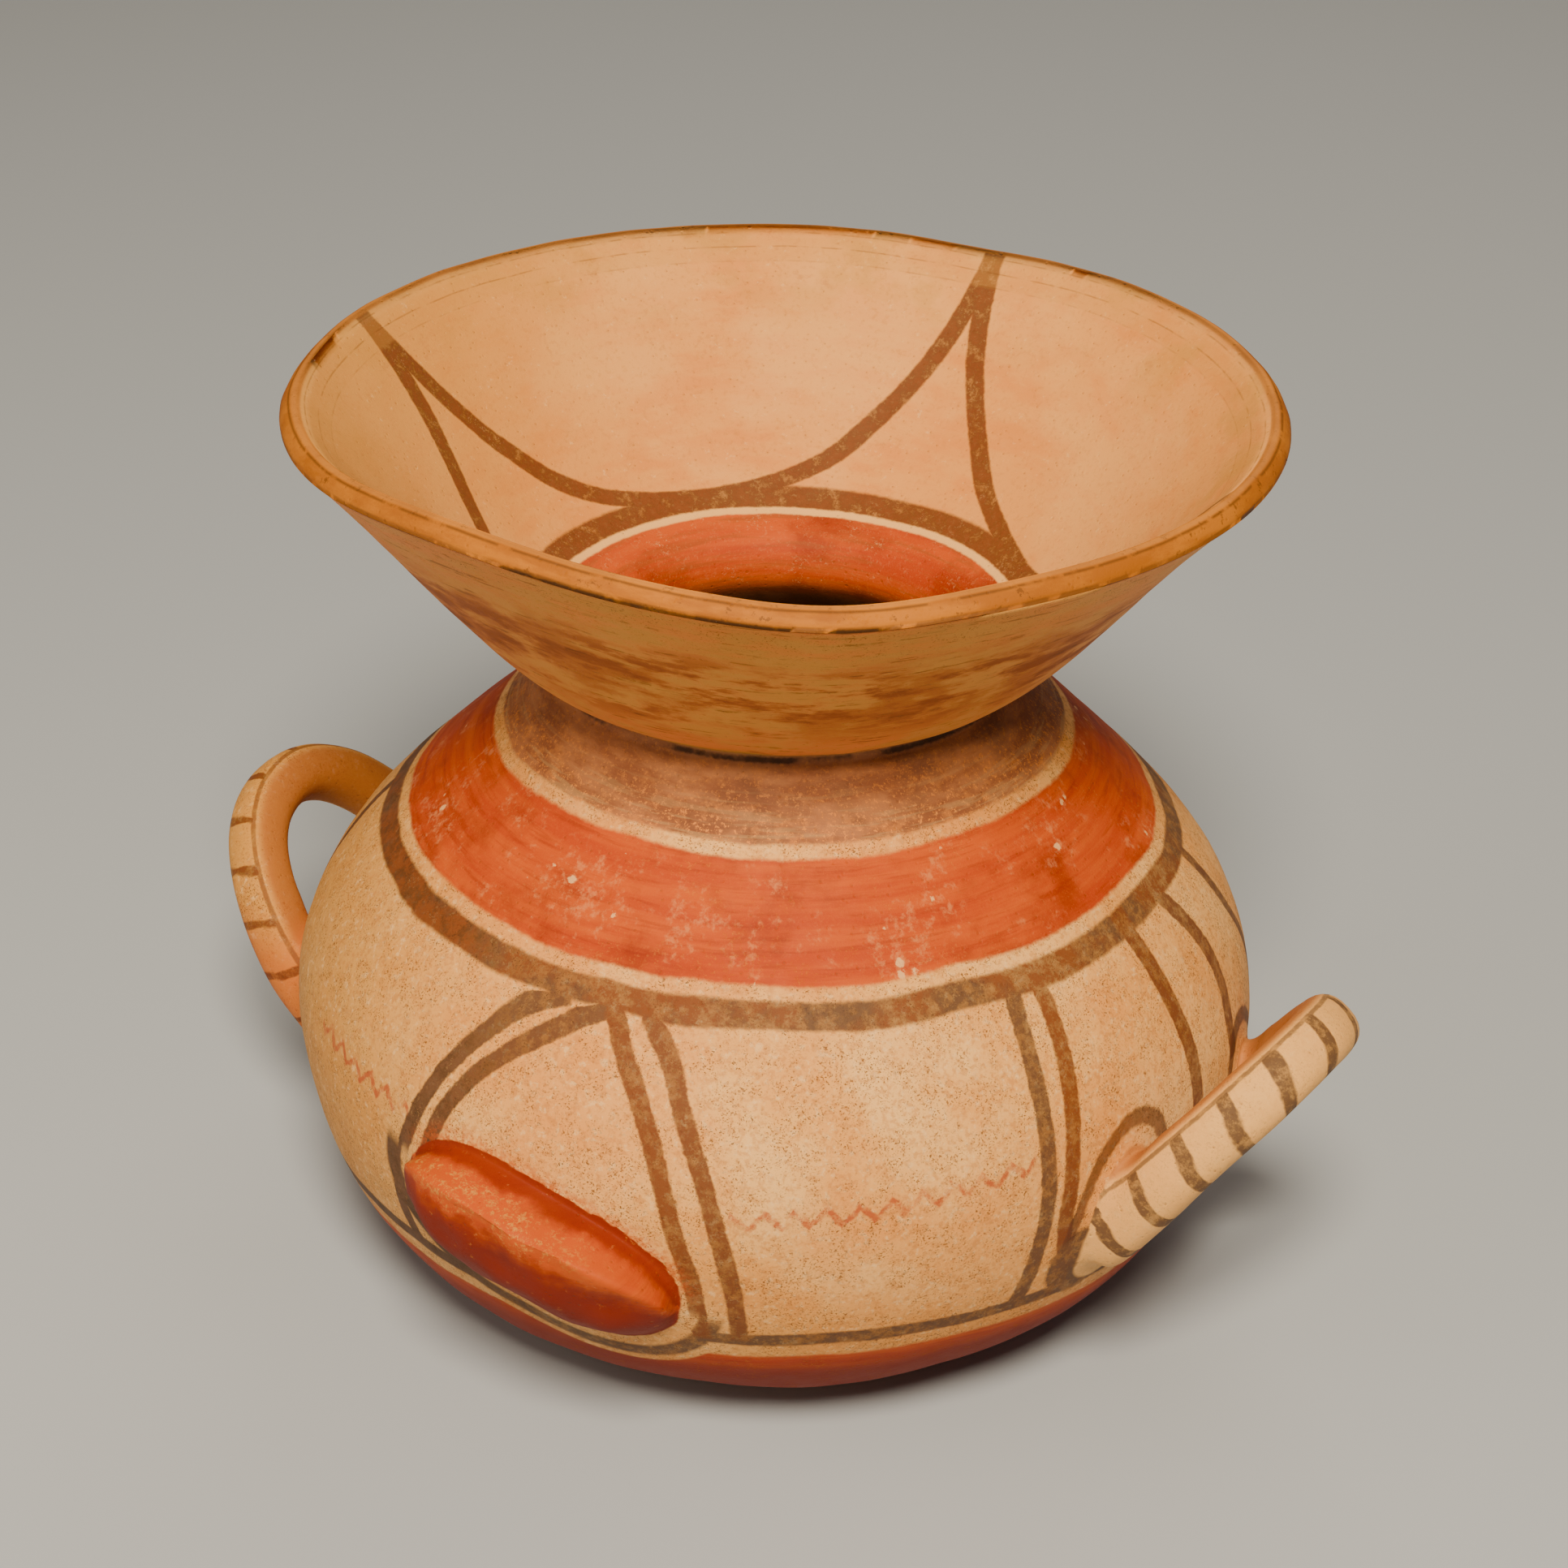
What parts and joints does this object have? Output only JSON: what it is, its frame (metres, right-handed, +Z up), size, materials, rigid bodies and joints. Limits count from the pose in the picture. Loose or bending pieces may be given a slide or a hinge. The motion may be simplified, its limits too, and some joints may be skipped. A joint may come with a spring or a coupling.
{
  "type": "two-handled pot",
  "caption": "Hand-built clay pot with a round hollow body, pinched throat, wide flared mouth, upturned loop handles and ledge lugs.",
  "frame": {"origin": "centre of the flat underside of the foot, on the surface that the pot stands on", "axes": "+Z up through the mouth, X from the shorter handle to the longer one, Y from one ledge lug to the other"},
  "size_m": [0.2561, 0.2238, 0.1979],
  "materials": {
    "painted_clay": "matte burnished earthenware with worn cream, red and dark brown slip paint"
  },
  "bodies": {
    "root": {"pot": "painted_clay"}
  },
  "joints": []
}
